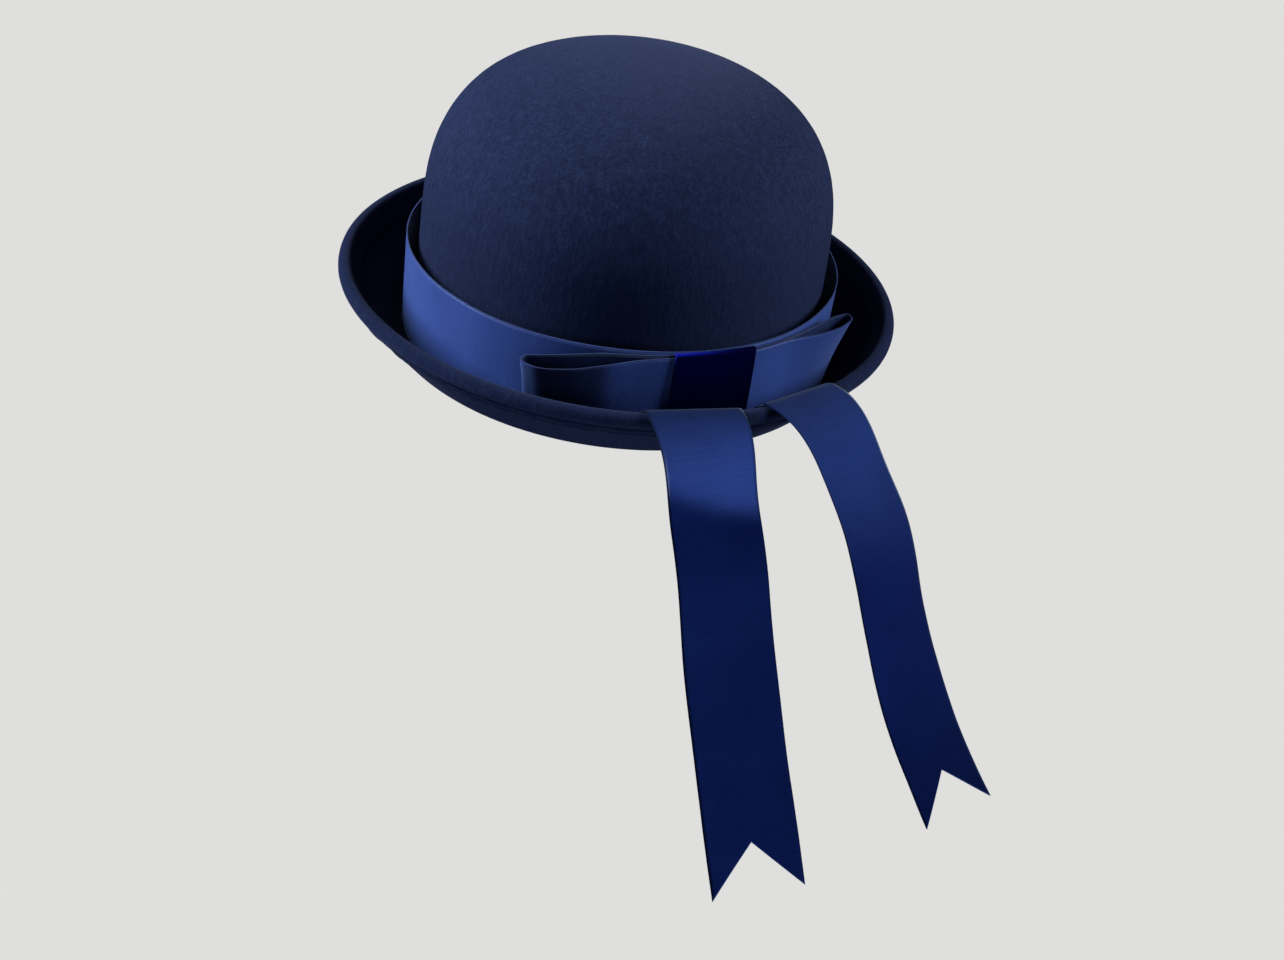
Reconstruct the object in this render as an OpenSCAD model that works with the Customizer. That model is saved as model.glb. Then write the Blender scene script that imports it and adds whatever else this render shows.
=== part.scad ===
// Bowler hat of wool felt with a turned-up brim, a ribbon band, a flat bow and two ribbon tails.
// +Z is up, as the hat is worn. -Y is the back, and the long axis of the head oval lies along Y.
// The origin is the centre of the head opening, in the plane of the brim's lowest face.
// Every ring is turned as a circle and then stretched along Y by the head's ratio, so a place
// on the oval is a half-width at the sides and an angle from the centre back.

/* [Head and crown] */
// Inside width of the head opening, from side to side, between the sweatband's faces
head_w = 164; // [154:1:176]
// How much longer than wide the head opening is
oval = 1.17; // [1.1:0.01:1.22]
// Height of the crown's top above the opening
crown_h = 121.5; // [108:0.5:135]
// Thickness of the felt
felt_t = 2.6; // [2.2:0.1:2.8]
// Fullness of the dome towards the sides: 2 is an ellipse, more is squarer
dome_side = 2.3; // [2:0.1:3]
// Fullness of the dome towards the top: 2 is an ellipse, more is squarer
dome_top = 3.3; // [2:0.1:4]

/* [Brim] */
// Distance from the crown's wall to the middle of the rolled lip, at the sides
brim_reach = 29.4; // [29.4:0.2:34]
// Height of the lip's top above the opening
brim_h = 29.1; // [27.1:0.1:29.1]
// Slope of the turned-up brim near the crown, in degrees
brim_slope = 46; // [46:1:52]
// Slope of the brim just below the lip, in degrees
end_slope = 60; // [56:1:64]
// Radius of the roll at the brim's edge, where the felt is folded double
lip_r = 3; // [2.8:0.1:3.2]
// How far the folded hem reaches down inside the brim
hem_d = 9; // [7:0.5:10]
// Thickness of the wire inside the hem
wire_d = 1.5; // [1.2:0.1:1.8]
// Thickness of the sewing thread
thread_d = 0.6; // [0.4:0.1:0.8]

/* [Ribbon] */
// Width of the ribbon that the band, the bow and the tails are cut from
ribbon_w = 38; // [34:1:40]
// Thickness of the ribbon
ribbon_t = 0.5; // [0.3:0.1:0.6]
// How far the band stands off the crown at its top edge
band_gap = 5; // [4:0.2:5.2]
// Where the bow sits, in degrees round the oval from the centre back
bow_at = 26; // [20:1:32]
// Width of the knot, in degrees round the oval
knot_span = 21; // [16:1:24]
// Reach of the left loop from the middle of the knot, in degrees round the oval
left_span = 41; // [34:1:46]
// Reach of the right loop from the middle of the knot, in degrees round the oval
right_span = 43; // [34:1:46]

/* [Tails] */
// Length of the left tail below the lip
left_tail_l = 170; // [120:1:200]
// Length of the right tail below the lip
right_tail_l = 164; // [120:1:200]
// Depth of the swallowtail cut
notch_d = 21; // [10:1:30]
// Where the left tail crosses the lip, in degrees round the oval
left_tail_at = 17.5; // [12:0.5:19]
// Where the right tail crosses the lip, in degrees round the oval
right_tail_at = 41.5; // [40:0.5:48]
// Which way the left tail hangs, in degrees from straight back
left_heading = 29.5; // [22:0.5:31]
// Which way the right tail hangs, in degrees from straight back
right_heading = 49.5; // [46:0.5:54]

/* [Sweatband] */
// Height of the sweatband
sweat_h = 32; // [25:1:38]
// Thickness of the sweatband
sweat_t = 0.9; // [0.6:0.1:1.2]

/* [Hidden] */
$fn = 96;
small_fn = 8;

felt_colour = "#252c45";
ribbon_colour = "#22335f";
thread_colour = "#1a2140";
sweat_colour = "#15182b";
metal_colour = "#9a9da3";

// Crown wall and band, as half-widths of the oval
wall_in = head_w / 2 + sweat_t + 0.1;
wall_out = wall_in + felt_t;
band_r = wall_out + band_gap;
band_foot_r = band_r - 0.7;
band_z = felt_t + 0.2;
dome_z = band_z + ribbon_w;

// Brim section: a bend at the crown, a roll upward, a slope, and a steeper end under the lip
crown_bend = 3.5;
foot_x = wall_out + crown_bend;
foot_z = felt_t + crown_bend;
lip_x = wall_out + brim_reach;
lip_z = brim_h - lip_r;
lip_proud = 1.3;
end_r = 40;
face_x = lip_x + (lip_r - lip_proud) * sin(end_slope);
face_z = lip_z - (lip_r - lip_proud) * cos(end_slope);
end_cx = face_x - end_r * sin(end_slope);
end_cz = face_z + end_r * cos(end_slope);
end_x = end_cx + end_r * sin(brim_slope);
end_z = end_cz - end_r * cos(brim_slope);
roll_r = 10;
roll_x = end_x - (end_z - roll_r * (1 - cos(brim_slope))) / tan(brim_slope) - roll_r * sin(brim_slope);

// Wire, its joining sleeve, and the two rows of stitches below the lip
wire_hole = wire_d / 2 + 0.05;
joiner_r = wire_d / 2 + 0.45;
joiner_deg = 7;
ends_gap = 0.4;
groove_r = thread_d / 2 + 0.05;
thread_out = 0.1;
upper_row = 2.7;
lower_row = 7.5;

// Bow, in layers outward from the band: the knot's back, the loops' two layers, the knot's face
knot_r = band_r + ribbon_t + 0.2;
loop_r = knot_r + 1.5 * ribbon_t + 0.1;
waist = ribbon_t + 0.2;
knot_face = loop_r + waist + ribbon_t / 2 + 0.2;
knot_z0 = felt_t + 2;
knot_z1 = band_z + ribbon_w + 0.5;
loop_z0 = knot_z0 + 0.8;
loop_z1 = knot_z1 - 0.8;
knot_round = 0.8;

// Tails, in a plane that stands on the lip: out from the lip's middle, and up
root_start = [-22, 8.5];
bend_at = [-0.8, 22.6];
bend_r = 7.5;
bend_end = 63;
hinge_gap = 0.8;
left_hinge = [6.2, 24.5];
right_hinge = [7, 27];
tail_steps = 24;

function arc(cx, cz, r, from, to, n) =
    [for (i = [0 : n]) let (a = from + (to - from) * i / n) [cx + r * cos(a), cz + r * sin(a)]];

function ease(s) = let (c = min(max(s, 0), 1)) c * c * (3 - 2 * c);

// Point of the oval of half-width r, at t degrees from the centre back
function oval_at(r, t) = [r * sin(t), -oval * r * cos(t)];

// Direction square to the oval at t degrees, from straight back
function square_to(t) = atan(oval * tan(t));

// Half of the dome's outline, from the wall of half-width r up to a height h above the band
function dome(r, h) =
    [for (a = [0 : 3 : 90]) [r * pow(cos(a), 2 / dome_side), dome_z + h * pow(sin(a), 2 / dome_top)]];

function reversed(p) = [for (i = [len(p) - 1 : -1 : 0]) p[i]];

// Unit normal of a path at its point i
function path_normal(p, i) =
    let (d = p[min(i + 1, len(p) - 1)] - p[max(i - 1, 0)]) [-d[1], d[0]] / norm(d);

// Outline of a strip of ribbon whose middle runs along a path
function strip(p) = concat(
    [for (i = [0 : len(p) - 1]) p[i] + path_normal(p, i) * ribbon_t / 2],
    [for (i = [len(p) - 1 : -1 : 0]) p[i] - path_normal(p, i) * ribbon_t / 2]);

// Path of equal steps, with the direction of every step in degrees
function walk(at, step, dirs, i = 0) =
    i == len(dirs) ? [at]
    : concat([at], walk(at + step * [cos(dirs[i]), sin(dirs[i])], step, dirs, i + 1));

// Section of the felt: the crown's inside, the brim's outside, the brim's inside, the crown's outside
function felt_outline() = concat(
    reversed(dome(wall_in, crown_h - felt_t - dome_z)),
    arc(foot_x, foot_z, foot_z, 180, 270, 8),
    arc(roll_x, roll_r, roll_r, -90, brim_slope - 90, 8),
    arc(end_cx, end_cz, end_r, brim_slope - 90, end_slope - 90, 4),
    arc(end_cx, end_cz, end_r - felt_t, end_slope - 90, brim_slope - 90, 4),
    arc(roll_x, roll_r, roll_r - felt_t, brim_slope - 90, -90, 8),
    arc(foot_x, foot_z, crown_bend, 270, 180, 8),
    dome(wall_out, crown_h - dome_z));

// Place on the brim's outer face, a distance below the end of the face
module on_face(below) {
    a = end_slope - 90 - below / end_r * 180 / PI;
    translate([end_cx, end_cz]) rotate(a) translate([end_r + thread_out, 0]) children();
}

// Ring round the oval, turned in two halves. A wire or thread leaves a gap between its two ends
// at the centre front, in degrees.
module turned(gap = 0) {
    scale([1, oval, 1]) for (from = [0, 180 + gap / 2])
        rotate([0, 0, from - 90]) rotate_extrude(angle = 180 - gap / 2) children();
}

// Part of a turned ring, from one angle round the oval to another
module turned_part(from, to) {
    scale([1, oval, 1]) rotate([0, 0, from - 90]) rotate_extrude(angle = to - from) children();
}

// Solid between two strips of the same number of points, at two heights. Both faces of the strip
// are split along the same diagonals, so the sheet keeps its thickness where it twists.
module loft(low, z0, high, z1) {
    n = len(low);
    polyhedron(
        concat([for (p = low) [p[0], p[1], z0]], [for (p = high) [p[0], p[1], z1]]),
        concat(
            [for (i = [0 : n / 2 - 2]) [n - 1 - i, n - 2 - i, i + 1, i]],
            [for (i = [0 : n / 2 - 2]) [n + i, n + i + 1, 2 * n - 2 - i, 2 * n - 1 - i]],
            [for (i = [0 : n - 1]) let (j = (i + 1) % n) i < n / 2 ? [i, n + j, n + i] : [i, j, n + i]],
            [for (i = [0 : n - 1]) let (j = (i + 1) % n) i < n / 2 ? [i, j, n + j] : [j, n + j, n + i]]));
}

// Sheet whose section stands in a plane on the lip, at an angle round the oval and a heading
module over_lip(at, heading, width) {
    translate(oval_at(lip_x, at)) rotate([0, 0, heading - 90]) rotate([90, 0, 0])
        linear_extrude(width, center = true) children();
}

// Crown and brim, blocked from one felt body, with the brim's edge rolled over and sewn down
module felt_body() {
    hem_slope = end_slope - 3;
    color(felt_colour) scale([1, oval, 1]) difference() {
        rotate_extrude() difference() {
            union() {
                polygon(felt_outline());
                translate([lip_x, lip_z]) circle(lip_r);
                translate([lip_x, lip_z]) rotate(hem_slope + 180) translate([0, -lip_r])
                    square([hem_d, lip_r]);
            }
            translate([lip_x, lip_z]) circle(wire_hole, $fn = small_fn);
            for (row = [upper_row, lower_row]) on_face(row) circle(groove_r, $fn = small_fn);
        }
        rotate([0, 0, 90 - joiner_deg / 2 - 0.5]) rotate_extrude(angle = joiner_deg + 1)
            translate([lip_x, lip_z]) circle(joiner_r + 0.05, $fn = small_fn);
    }
}

// Wire that keeps the lip's shape, with its two ends inside the sleeve at the front
module brim_wire() {
    color(metal_colour) turned(ends_gap) translate([lip_x, lip_z]) circle(wire_d / 2, $fn = small_fn);
}

module wire_joiner() {
    color(metal_colour) turned_part(180 - joiner_deg / 2, 180 + joiner_deg / 2)
        translate([lip_x, lip_z]) difference() {
            circle(joiner_r, $fn = small_fn);
            circle(wire_d / 2 + 0.02, $fn = small_fn);
        }
}

// One row of sewing thread in its groove
module hem_thread(row) {
    color(thread_colour) turned(ends_gap) on_face(row) circle(thread_d / 2, $fn = small_fn);
}

module sweatband() {
    color(sweat_colour) turned() translate([head_w / 2, 1.6]) square([sweat_t, sweat_h]);
}

module sweatband_thread() {
    color(thread_colour) turned(ends_gap) translate([head_w / 2 - thread_d / 2 - 0.02, 4.2])
        circle(thread_d / 2, $fn = small_fn);
}

// Blank woven label, sewn to the sweatband at the centre back
module size_label() {
    color("#c9c8c4") turned_part(-4, 4) translate([head_w / 2 - 0.5, 9]) square([0.45, 20]);
}

// Ribbon round the crown, tight at its foot and standing off at its top edge
module hat_band() {
    color(ribbon_colour) turned() polygon([
        [band_foot_r, band_z], [band_foot_r + ribbon_t, band_z],
        [band_r + ribbon_t, band_z + ribbon_w], [band_r, band_z + ribbon_w]]);
}

// Ribbon wrapped round the waist of the bow
module bow_knot() {
    deep = knot_face + ribbon_t - knot_r;
    tall = knot_z1 - knot_z0;
    color(ribbon_colour) turned_part(bow_at - knot_span / 2, bow_at + knot_span / 2)
        translate([knot_r, knot_z0]) difference() {
            union() {
                square([deep - knot_round, tall]);
                translate([0, knot_round]) square([deep, tall - 2 * knot_round]);
                for (z = [knot_round, tall - knot_round])
                    translate([deep - knot_round, z]) circle(knot_round);
            }
            translate([ribbon_t, ribbon_t]) square([deep - 2 * ribbon_t, tall - 2 * ribbon_t]);
        }
}

// Middle line of the bow's closed ribbon. The back layer follows the band and lifts at the ends
// by lift, the front layer swells out by swell, and each end is a fold.
function loop_side(side, span, lift, swell) =
    let (
        back = [for (s = [0.02 : 0.07 : 1]) [bow_at + side * span * s, loop_r + lift * pow(s, 6)]],
        front = [for (s = [1 : -0.07 : 0.02])
            [bow_at + side * span * s, loop_r + waist + swell * ease((s - 0.4) / 0.55)]],
        fold_r = (loop_r + lift + loop_r + waist + swell) / 2,
        half = (waist + swell - lift) / 2,
        fold = [for (a = [-60 : 30 : 60])
            [bow_at + side * (span + 0.6 * half * cos(a)), fold_r + half * sin(a)]]
    )
    concat(back, fold, front);

function loop_path(lift, swell) =
    let (
        right = loop_side(1, right_span, lift, swell),
        left = loop_side(-1, left_span, lift, swell)
    )
    [for (p = concat(right, reversed(left))) oval_at(p[1], p[0])];

// Closed ribbon of the bow, flattened into a left and a right loop that lean out at the top
module bow_loops() {
    color(ribbon_colour) loft(strip(loop_path(0.6, 1.6)), loop_z0, strip(loop_path(5, 11)), loop_z1);
}

// Fixed start of a tail: up out of the brim's trough and over the lip
module tail_root(at) {
    to_start = root_start - bend_at;
    away = atan2(to_start[1], to_start[0]) + 360 - acos(bend_r / norm(to_start));
    color(ribbon_colour) over_lip(at, square_to(at), ribbon_w)
        polygon(strip(concat([root_start], arc(bend_at[0], bend_at[1], bend_r, away, bend_end, 10))));
}

// Hanging tail with a swallowtail end
module hanging_tail(at, heading, hinge, length, dirs) {
    start = hinge + hinge_gap * [cos(dirs[0]), sin(dirs[0])];
    path = walk(start, length / len(dirs), dirs);
    tip = path[len(path) - 1];
    wide = ribbon_w / 2 * (1 + 2 / notch_d);
    color(ribbon_colour) difference() {
        over_lip(at, heading, ribbon_w) polygon(strip(path));
        translate(oval_at(lip_x, at)) rotate([0, 0, heading - 90])
            translate([tip[0], 0, tip[1]]) rotate([0, -dirs[len(dirs) - 1], 0])
            linear_extrude(20, center = true)
            polygon([[-notch_d, 0], [2, -wide], [2, wide]]);
    }
}

// The left tail hangs almost straight
module tail_left() {
    dirs = [for (i = [1 : tail_steps]) -62 + 9 * i / tail_steps];
    hanging_tail(left_tail_at, left_heading, left_hinge, left_tail_l, dirs);
}

// The right tail arches out, falls and curls out again at its end
module tail_right() {
    dirs = [for (i = [1 : tail_steps]) -62 + 22 * pow(2 * i / tail_steps - 1, 2)];
    hanging_tail(right_tail_at, right_heading, right_hinge, right_tail_l, dirs);
}

felt_body();
brim_wire();
wire_joiner();
hem_thread(upper_row);  // hem_thread_upper
hem_thread(lower_row);  // hem_thread_lower
sweatband();
sweatband_thread();
size_label();
hat_band();
bow_knot();
bow_loops();
tail_root(left_tail_at);  // tail_left_root
tail_root(right_tail_at);  // tail_right_root
tail_left();
tail_right();
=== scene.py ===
"""Bowler hat of navy wool felt, with a standing ribbon band, a flat bow and two ribbon tails."""

import math

import bpy
import numpy as np
from mathutils import Matrix, Vector, noise


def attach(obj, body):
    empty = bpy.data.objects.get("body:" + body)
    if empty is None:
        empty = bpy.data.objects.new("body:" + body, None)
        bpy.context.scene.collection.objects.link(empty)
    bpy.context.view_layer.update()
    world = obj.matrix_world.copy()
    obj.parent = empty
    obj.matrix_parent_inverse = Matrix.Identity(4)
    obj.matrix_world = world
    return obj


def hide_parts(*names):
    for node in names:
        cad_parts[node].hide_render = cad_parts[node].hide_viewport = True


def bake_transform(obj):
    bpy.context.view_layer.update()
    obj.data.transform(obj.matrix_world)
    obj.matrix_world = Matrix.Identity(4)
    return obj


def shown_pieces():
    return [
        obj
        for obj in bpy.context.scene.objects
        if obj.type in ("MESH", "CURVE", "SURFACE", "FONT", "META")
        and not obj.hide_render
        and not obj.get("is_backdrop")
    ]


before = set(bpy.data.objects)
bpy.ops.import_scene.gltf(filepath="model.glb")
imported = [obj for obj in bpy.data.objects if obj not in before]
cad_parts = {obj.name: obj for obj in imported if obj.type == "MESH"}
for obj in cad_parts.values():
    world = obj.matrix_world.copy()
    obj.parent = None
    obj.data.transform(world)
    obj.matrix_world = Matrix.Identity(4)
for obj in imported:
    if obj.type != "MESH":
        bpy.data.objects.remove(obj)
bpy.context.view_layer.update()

# Sizes in millimetres and slopes in degrees, as in the part's source. Half-widths are at the oval's sides.
MM = 0.001
OVAL = 1.17  # the head oval's length over its width
OVAL_ROUND = 1.0885  # the oval's perimeter over that of a circle of the same half-width
FELT = 2.6
WALL_IN = 83.0
WALL_OUT = WALL_IN + FELT
CROWN_H = 121.5
DOME_Z = 40.8  # where the crown's wall turns into the dome
DOME_SIDE, DOME_TOP = 2.3, 3.3  # powers of the dome's rounded section
BEND = 3.5  # inside radius between the wall and the brim
LIP_X, LIP_Z, LIP_R = 115.0, 26.1, 3.0
LIP_PROUD = 1.3  # how far the rolled lip stands out of the brim's outer face
BRIM_SLOPE, ROLL_R = 46.0, 10.0  # the brim's side and the bend at its foot
END_SLOPE, END_R = 60.0, 40.0  # the brim's steeper end and the bend before it
HEM, HEM_SLOPE = 9.0, END_SLOPE - 3
ROWS = (2.7, 7.5)  # the stitched rows' distances below the brim's end
STITCHES = 250
FACE_DEPTH, FACE_STEP = 14.0, 0.7  # the finely divided part of the outer face, for the stitched rows
BAND_FOOT_R, BAND_R, BAND_Z = 89.9, 90.6, (3.3, 41.2)
RIBBON_W, RIBBON_T = 38.0, 0.45
BOW_AT, KNOT_HALF = 26.0, 10.5  # degrees round the oval
SWEAT_R, SWEAT_Z, SWEAT_ROUND = 82.45, (1.7, 33.6), 562.0
LABEL_R, LABEL_W, LABEL_H, LABEL_FOOT = 81.65, 13.4, 20, 9


# --- camera ------------------------------------------------------------------------------------

LENS = 56.03
# The camera looks down by ELEVATION degrees from REACH metres, at the hat's axis CENTRE_Z metres up.
ELEVATION, REACH, CENTRE_Z = 24.0, 0.865, 0.002
# Then it turns aside and up, and rolls, by so many degrees.
ASIDE, ABOVE, ROLL = 1.44, -4.185, 8.59


def make_camera():
    data = bpy.data.cameras.new("camera")
    cam = bpy.data.objects.new("camera", data)
    bpy.context.scene.collection.objects.link(cam)
    bpy.context.scene.camera = cam
    data.sensor_width = 36.0
    data.lens = LENS
    data.clip_start, data.clip_end = 0.05, 60.0
    elevation = math.radians(ELEVATION)
    toward = Vector((0.0, math.cos(elevation), -math.sin(elevation)))
    right = toward.cross(Vector((0, 0, 1))).normalized()
    up = right.cross(toward)
    aim = toward + math.tan(math.radians(ASIDE)) * right + math.tan(math.radians(ABOVE)) * up
    aim = aim.normalized()
    right = aim.cross(Vector((0, 0, 1))).normalized()
    up = right.cross(aim)
    roll = math.radians(ROLL)
    side = math.cos(roll) * right + math.sin(roll) * up
    top = -math.sin(roll) * right + math.cos(roll) * up
    turn = Matrix((side, top, -aim)).transposed().to_4x4()
    cam.matrix_world = Matrix.Translation(Vector((0, 0, CENTRE_Z)) - toward * REACH) @ turn


make_camera()


# --- shared shapes -----------------------------------------------------------------------------

def ease(x):
    x = np.clip(x, 0.0, 1.0)
    return x * x * (3 - 2 * x)


def arc(cx, cz, r, start, end, n):
    a = np.radians(np.linspace(start, end, n))
    return np.stack([cx + r * np.cos(a), cz + r * np.sin(a)], 1)


def oval(r, t):
    """Points of the oval of half-width r, at t degrees from the centre back."""
    a = np.radians(t)
    return np.stack(np.broadcast_arrays(r * np.sin(a), -OVAL * r * np.cos(a)), -1)


def square_to(t):
    """Heading square to the oval, in degrees from straight back."""
    return math.degrees(math.atan2(OVAL * math.sin(math.radians(t)), math.cos(math.radians(t))))


def smooth_through(knots, values, at):
    """Smooth curve through a few values, by cubic pieces whose slopes come from the neighbouring values."""
    knots, values = np.asarray(knots, float), np.asarray(values, float)
    slope = np.gradient(values, knots, axis=0)
    i = np.clip(np.searchsorted(knots, at) - 1, 0, len(knots) - 2)
    h = knots[i + 1] - knots[i]
    u = (at - knots[i]) / h
    if values.ndim > 1:
        h, u = h[:, None], u[:, None]
    return ((2 * u**3 - 3 * u**2 + 1) * values[i] + (u**3 - 2 * u**2 + u) * h * slope[i]
            + (3 * u**2 - 2 * u**3) * values[i + 1] + (u**3 - u**2) * h * slope[i + 1])


def unit_ring(t):
    """Points of the level unit circle at t degrees."""
    return np.stack([np.cos(np.radians(t)), np.sin(np.radians(t)), 0 * t], 1)


def waver(points, size, seed):
    """Smooth noise from -1 to 1 at each point, with features of that size in millimetres."""
    shift = Vector((seed * 17.3, seed * 5.1, seed * 9.7))
    return np.array([noise.noise(Vector(p) / size + shift) for p in points])


def piece(name, points, faces, material, body="root", flat_faces=None, weave=None):
    """Mesh object from points in millimetres. weave is each point's place in the cloth, in millimetres."""
    mesh = bpy.data.meshes.new(name)
    mesh.from_pydata((np.asarray(points) * MM).tolist(), [], [tuple(map(int, f)) for f in faces])
    mesh.polygons.foreach_set("use_smooth", [True] * len(mesh.polygons))
    if flat_faces is not None:
        smooth = np.ones(len(mesh.polygons), bool)
        smooth[flat_faces] = False
        mesh.polygons.foreach_set("use_smooth", smooth)
    if weave is not None:
        attribute = mesh.attributes.new("weave", "FLOAT_VECTOR", "POINT")
        attribute.data.foreach_set("vector", np.asarray(weave, np.float32).ravel())
    mesh.validate()
    mesh.update()
    obj = bpy.data.objects.new(name, mesh)
    bpy.context.scene.collection.objects.link(obj)
    mesh.materials.append(material)
    if body:
        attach(obj, body)
    return obj


def ribbon(name, grid, along, across, material, body="root", closed=False, thick=RIBBON_T, kind=0.0,
           shade=(0.0, 0.0)):
    """Sheet from a grid of points, first index along the ribbon, with both faces and its cut edges.

    shade holds how far each face is darkened, from 0 to 1, as where a loop turns from the light.
    """
    n, m = grid.shape[:2]
    if closed:
        d_along = np.roll(grid, -1, 0) - np.roll(grid, 1, 0)
    else:
        d_along = np.gradient(grid, axis=0)
    normal = np.cross(d_along, np.gradient(grid, axis=1))
    normal /= np.linalg.norm(normal, axis=2, keepdims=True)
    points = np.concatenate([(grid + normal * thick / 2).reshape(-1, 3),
                             (grid - normal * thick / 2).reshape(-1, 3)])
    weave = np.stack([along, across, np.full(along.shape, kind)], -1).reshape(-1, 3)
    i, j = np.meshgrid(np.arange(n if closed else n - 1), np.arange(m - 1), indexing="ij")
    i2 = (i + 1) % n
    a, b = (i * m + j).ravel(), (i2 * m + j).ravel()
    c, d = b + 1, a + 1
    back = n * m
    faces = [np.stack([a, b, c, d], 1), np.stack([a, d, c, b], 1) + back]
    k = np.arange(n if closed else n - 1)
    k2 = (k + 1) % n
    rims = [np.stack([k * m, k * m + back, k2 * m + back, k2 * m], 1),
            np.stack([k * m + m - 1, k2 * m + m - 1, k2 * m + m - 1 + back, k * m + m - 1 + back], 1)]
    if not closed:
        e, last = np.arange(m - 1), (n - 1) * m
        rims += [np.stack([e, e + 1, e + 1 + back, e + back], 1),
                 np.stack([last + e, last + e + back, last + e + 1 + back, last + e + 1], 1)]
    count = sum(len(f) for f in faces)
    faces = np.concatenate(faces + rims)
    obj = piece(name, points, faces, material, body, flat_faces=np.arange(count, len(faces)),
                weave=np.concatenate([weave, weave]))
    attribute = obj.data.attributes.new("shade", "FLOAT", "POINT")
    both = [np.broadcast_to(np.float32(face), (n, m)) for face in shade]
    attribute.data.foreach_set("value", np.concatenate(both).ravel())
    return obj


# --- materials ---------------------------------------------------------------------------------

class Nodes:
    """A material's node tree, with short ways to add and join nodes."""

    def __init__(self, name):
        self.material = bpy.data.materials.new(name)
        self.material.use_nodes = True
        self.tree = self.material.node_tree
        self.shader = self.tree.nodes["Principled BSDF"]

    def add(self, kind, inputs=(), **settings):
        node = self.tree.nodes.new(kind)
        for key, value in settings.items():
            setattr(node, key, value)
        for key, value in dict(inputs).items():
            if isinstance(value, bpy.types.NodeSocket):
                self.tree.links.new(value, node.inputs[key])
            else:
                node.inputs[key].default_value = value
        return node

    def math(self, operation, a, b=0.0):
        return self.add("ShaderNodeMath", {0: a, 1: b}, operation=operation).outputs[0]

    def noise(self, vector, scale, detail=2.0, rough=0.5):
        inputs = {"Vector": vector, "Scale": scale, "Detail": detail, "Roughness": rough}
        return self.add("ShaderNodeTexNoise", inputs).outputs["Fac"]

    def stretched(self, vector, scale):
        return self.add("ShaderNodeMapping", {"Vector": vector, "Scale": scale}).outputs[0]

    def wave(self, phase):
        """Sine wave from 0 to 1."""
        return self.math("ADD", self.math("MULTIPLY", self.math("SINE", phase), 0.5), 0.5)

    def ramp(self, fac, stops):
        node = self.add("ShaderNodeValToRGB", {"Fac": fac})
        elements = node.color_ramp.elements
        while len(elements) < len(stops):
            elements.new(0.5)
        for element, (position, colour) in zip(elements, stops):
            element.position, element.color = position, (*colour, 1.0)
        return node.outputs["Color"]

    def mix(self, fac, a, b):
        node = self.tree.nodes.new("ShaderNodeMix")
        node.data_type = "RGBA"
        for key, value in ((0, fac), (6, a), (7, b)):
            if isinstance(value, bpy.types.NodeSocket):
                self.tree.links.new(value, node.inputs[key])
            else:
                node.inputs[key].default_value = value if key == 0 else (*value, 1.0)
        return node.outputs[2]

    def bump(self, height, distance, strength=1.0, normal=None):
        inputs = {"Height": height, "Distance": distance, "Strength": strength}
        if normal is not None:
            inputs["Normal"] = normal
        return self.add("ShaderNodeBump", inputs).outputs["Normal"]

    def finish(self, colour, rough, normal, **sockets):
        for key, value in (("Base Color", colour), ("Roughness", rough), ("Normal", normal)):
            if isinstance(value, bpy.types.NodeSocket):
                self.tree.links.new(value, self.shader.inputs[key])
            elif value is not None:
                self.shader.inputs[key].default_value = value
        for key, value in sockets.items():
            self.shader.inputs[key.replace("_", " ")].default_value = value
        return self.material


def felt_material():
    m = Nodes("wool_felt")
    place = m.add("ShaderNodeTexCoord").outputs["Object"]
    fibre = m.noise(place, 900.0, 4.0, 0.62)
    clump = m.noise(place, 240.0, 3.0, 0.55)
    wide = m.noise(place, 26.0, 2.0)
    combed = m.noise(m.stretched(place, (1.0, 1.0, 0.28)), 620.0, 3.0, 0.6)
    tone = m.math("ADD", m.math("MULTIPLY", fibre, 0.46), m.math("MULTIPLY", clump, 0.18))
    tone = m.math("ADD", tone, m.math("MULTIPLY", combed, 0.36))
    colour = m.ramp(tone, [(0.34, (0.0009, 0.0017, 0.0060)), (0.50, (0.0020, 0.0035, 0.0110)),
                           (0.66, (0.0042, 0.0066, 0.0185))])
    worn = m.ramp(wide, [(0.35, (0, 0, 0)), (0.7, (0.25, 0.25, 0.25))])
    colour = m.mix(worn, colour, (0.0031, 0.0044, 0.0138))
    groove_shade = m.add("ShaderNodeAttribute", attribute_name="groove_shade").outputs["Fac"]
    # Painted shade darkens the felt in the grooves of the stitched rows.
    colour = m.mix(m.math("MULTIPLY", groove_shade, 0.95), colour, (0.0002, 0.0004, 0.0015))
    # Painted shade: the foot of the crown is darker, from just above the band up to the middle of its side.
    up = m.add("ShaderNodeSeparateXYZ", {0: place}).outputs[2]
    fall = {"Value": up, "From Min": 0.042, "From Max": 0.100, "To Min": 0.50, "To Max": 0.0}
    foot = m.add("ShaderNodeMapRange", fall, interpolation_type="SMOOTHSTEP").outputs[0]
    colour = m.mix(foot, colour, (0.0004, 0.0012, 0.0060))
    height = m.math("ADD", fibre, m.math("MULTIPLY", combed, 0.8))
    normal = m.bump(height, 0.00035, 0.55)
    normal = m.bump(clump, 0.0006, 0.25, normal)
    return m.finish(colour, 0.95, normal, Specular_IOR_Level=0.01, Sheen_Weight=0.012, Sheen_Roughness=0.5,
                    Sheen_Tint=(0.40, 0.50, 0.95, 1.0))


# Width of one rib, of one lengthwise thread and of the woven edge, in millimetres.
RIB, THREAD, SELVEDGE = 0.82, 0.36, 0.5


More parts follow.
